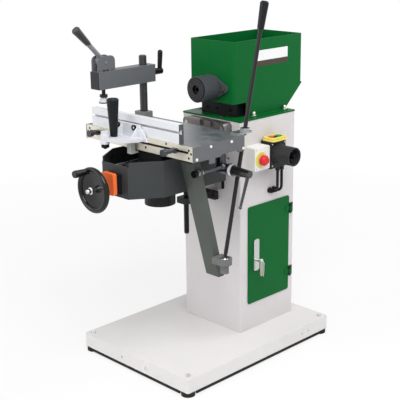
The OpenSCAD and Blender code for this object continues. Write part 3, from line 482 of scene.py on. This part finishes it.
# Height and radius of the ridge's four edges
RIDGE = ((-1.3, ROOT_RADIUS), (-0.5, CREST_RADIUS), (0.5, CREST_RADIUS), (1.3, ROOT_RADIUS))
steps = THREAD_TURNS * TURN_STEPS
loops = []
for i in range(steps + 1):
    a = 2 * math.pi * i / TURN_STEPS
    fade = min(1.0, i / TURN_STEPS, (steps - i) / TURN_STEPS)
    loop = []
    for dz, radius in RIDGE:
        r = ROOT_RADIUS + (radius - ROOT_RADIUS) * fade
        z = THREAD_FOOT_Z + THREAD_PITCH * i / TURN_STEPS + dz
        loop.append(mm(r * math.cos(a), SCREW_Y + r * math.sin(a), z))
    loops.append(loop)
add("lifting_thread", loft(loops), M["lifting_screw"], "screw", sharp=50)


# Hollow fillet along the foot of the column's four sides, with its ends set in from the corners

COLUMN_CORNERS = ((-154, 25), (154, 25), (154, 339), (-154, 339))
COLUMN_FOOT_Z = 72
FILLET, FILLET_STEPS, FILLET_SINK, END_INSET = 2.6, 6, 0.3, 5
corners = [Vector(c) for c in COLUMN_CORNERS]
bm = bmesh.new()
for a, b in zip(corners, corners[1:] + corners[:1]):
    run = (b - a).normalized()
    out = Vector((run.y, -run.x))
    loops = []
    for p, s in ((a, 1), (b, -1)):
        loop = []
        for i in range(FILLET_STEPS + 1):
            t = math.radians(90 / FILLET_STEPS * i)
            off = FILLET * (1 - math.sin(t))
            e = p + out * off + run * s * (END_INSET - off)
            loop.append(mm(e.x, e.y, COLUMN_FOOT_Z + FILLET * (1 - math.cos(t))))
        e = p - out * FILLET_SINK + run * s * END_INSET
        loop.append(mm(e.x, e.y, COLUMN_FOOT_Z))
        loops.append(loop)
    loft(loops, bm)
add("column_seam", bm, M["column_shell"], "stand", sharp=50)


# Handle of the door lock on its spindle, with the lock's barrel and a key

LOCK_Y, LOCK_Z = 109, 360
KEY_X, KEY_Y, KEY_THICK = 196, 110.5, 2
spindle = [(6, 0), (6, 27), (8.5, 27.5), (8.5, 33), (7.5, 34)]
barrel = [(3.2, 0), (3.2, 4), (1.2, 4.4)]
bm = turned(spindle, (158.6, LOCK_Y, LOCK_Z), RIGHT)
slab(width=13, height=72, thick=8, corner=6, at=(184, LOCK_Y, 334), axis=RIGHT, chamfer=1.5, bm=bm)
turned(barrel, (192, LOCK_Y, LOCK_Z), RIGHT, FEW_SIDES, bm)
slab(width=17, height=20, thick=KEY_THICK, corner=7, at=(195, 108, 350), axis=BACK, bm=bm)
slab(width=9, height=34, thick=KEY_THICK, corner=3, at=(KEY_X, KEY_Y, 330), axis=BACK, bm=bm)
slab(width=5, height=16, thick=KEY_THICK, corner=1, at=(KEY_X, KEY_Y, 306), axis=BACK, bm=bm)
key = add("door_lock_handle", bm, metal("handle_chrome", lin(206, 208, 200), 0.26), "door_handle")
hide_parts("door_lock")


# Stage and light, in metres

FLOOR_HALF = 14
FLOOR_TONES = (0.88, 0.88, 0.88), (0.9, 0.9, 0.9)
GLOW_NEAR, GLOW_FAR = 0.9, 3.0           # distances from the middle
GLOW_LEAST, GLOW_MOST = 0.7, 1.0         # share of the glow at those distances
WORLD_LIGHT, WORLD_SEEN = 0.5, 1.0       # strength as a light and as a background


def seen(tree):
    """1 for rays that show the background itself: straight, mirrored or through glass."""
    path = tree.nodes.new("ShaderNodeLightPath")
    out = path.outputs["Is Camera Ray"]
    for k in ("Is Glossy Ray", "Is Transmission Ray"):
        n = tree.nodes.new("ShaderNodeMath")
        n.operation = "MAXIMUM"
        tree.links.new(out, n.inputs[0])
        tree.links.new(path.outputs[k], n.inputs[1])
        out = n.outputs[0]
    return out


def lamp(name, pos, target, size, watts):
    """A square lamp of that size, turned towards its target."""
    light = bpy.data.lights.new(name, "AREA")
    light.size = size
    light.energy = watts
    o = into_scene(name, light)
    o.location = pos
    o.rotation_euler = (Vector(target) - Vector(pos)).to_track_quat("-Z", "Y").to_euler()


ground = Mat("floor_pale", 0.9, spec=0.1, edge=0)
tone = ground.ramp(ground.noise(scale=1.5, detail=3), *MIDDLE)
ground.done(ground.mix(tone, *FLOOR_TONES))
glow = ground.node("ShaderNodeEmission")
both = ground.node("ShaderNodeMixShader")
away = ground.node("ShaderNodeVectorMath", operation="LENGTH")
ground.link(ground.co, away.inputs[0])
share = ground.ramp(away.outputs["Value"], GLOW_NEAR, GLOW_FAR, GLOW_LEAST, GLOW_MOST)
ground.link(ground.math("MULTIPLY", seen(ground.tree), share), both.inputs[0])
ground.link(ground.shader.outputs[0], both.inputs[1])
ground.link(glow.outputs[0], both.inputs[2])
ground.link(both.outputs[0], ground.tree.nodes["Material Output"].inputs["Surface"])

bm = bmesh.new()
for x, y in ((-1, -1), (1, -1), (1, 1), (-1, 1)):
    bm.verts.new((x * FLOOR_HALF, y * FLOOR_HALF, 0))
bm.faces.new(bm.verts)
floor = mesh_object("floor", bm, ground.material)

world = bpy.data.worlds.new("studio")
bpy.context.scene.world = world
world.use_nodes = True
tree = world.node_tree
background = tree.nodes["Background"]
background.inputs["Color"].default_value = (1, 1, 1, 1)
strength = tree.nodes.new("ShaderNodeMapRange")
strength.inputs["To Min"].default_value = WORLD_LIGHT
strength.inputs["To Max"].default_value = WORLD_SEEN
tree.links.new(seen(tree), strength.inputs["Value"])
tree.links.new(strength.outputs["Result"], background.inputs["Strength"])

lamp("key", pos=(2.2, -1.5, 4.0), target=(0, 0, 0.7), size=2.6, watts=125)
lamp("fill", pos=(-1.6, -3.6, 2.2), target=(0, 0, 0.8), size=3.0, watts=52)
lamp("rim", pos=(1.6, 3.4, 3.0), target=(0, 0.1, 0.9), size=2.4, watts=45)


# Camera, looking down a little and slightly rolled

CAMERA_AT = Vector((2.4952, -2.4842, 1.6454))
AZIMUTH, ELEVATION, ROLL = math.radians(45.57), math.radians(16.60), math.radians(-0.74)
SENSOR_MM, LENS_MM = 36.0, 84.93

back = Vector((math.sin(AZIMUTH) * math.cos(ELEVATION), -math.cos(AZIMUTH) * math.cos(ELEVATION),
               math.sin(ELEVATION)))
level = Vector((math.cos(AZIMUTH), math.sin(AZIMUTH), 0.0))
upright = back.cross(level)
right = level * math.cos(ROLL) + upright * math.sin(ROLL)
up = upright * math.cos(ROLL) - level * math.sin(ROLL)
cam_data = bpy.data.cameras.new("camera")
cam_data.sensor_width = SENSOR_MM
cam_data.lens = LENS_MM
cam = into_scene("camera", cam_data)
cam.matrix_world = Matrix([(right[i], up[i], back[i], CAMERA_AT[i]) for i in range(3)] + [(0, 0, 0, 1)])
bpy.context.scene.camera = cam
bpy.context.scene.view_settings.view_transform = "Standard"
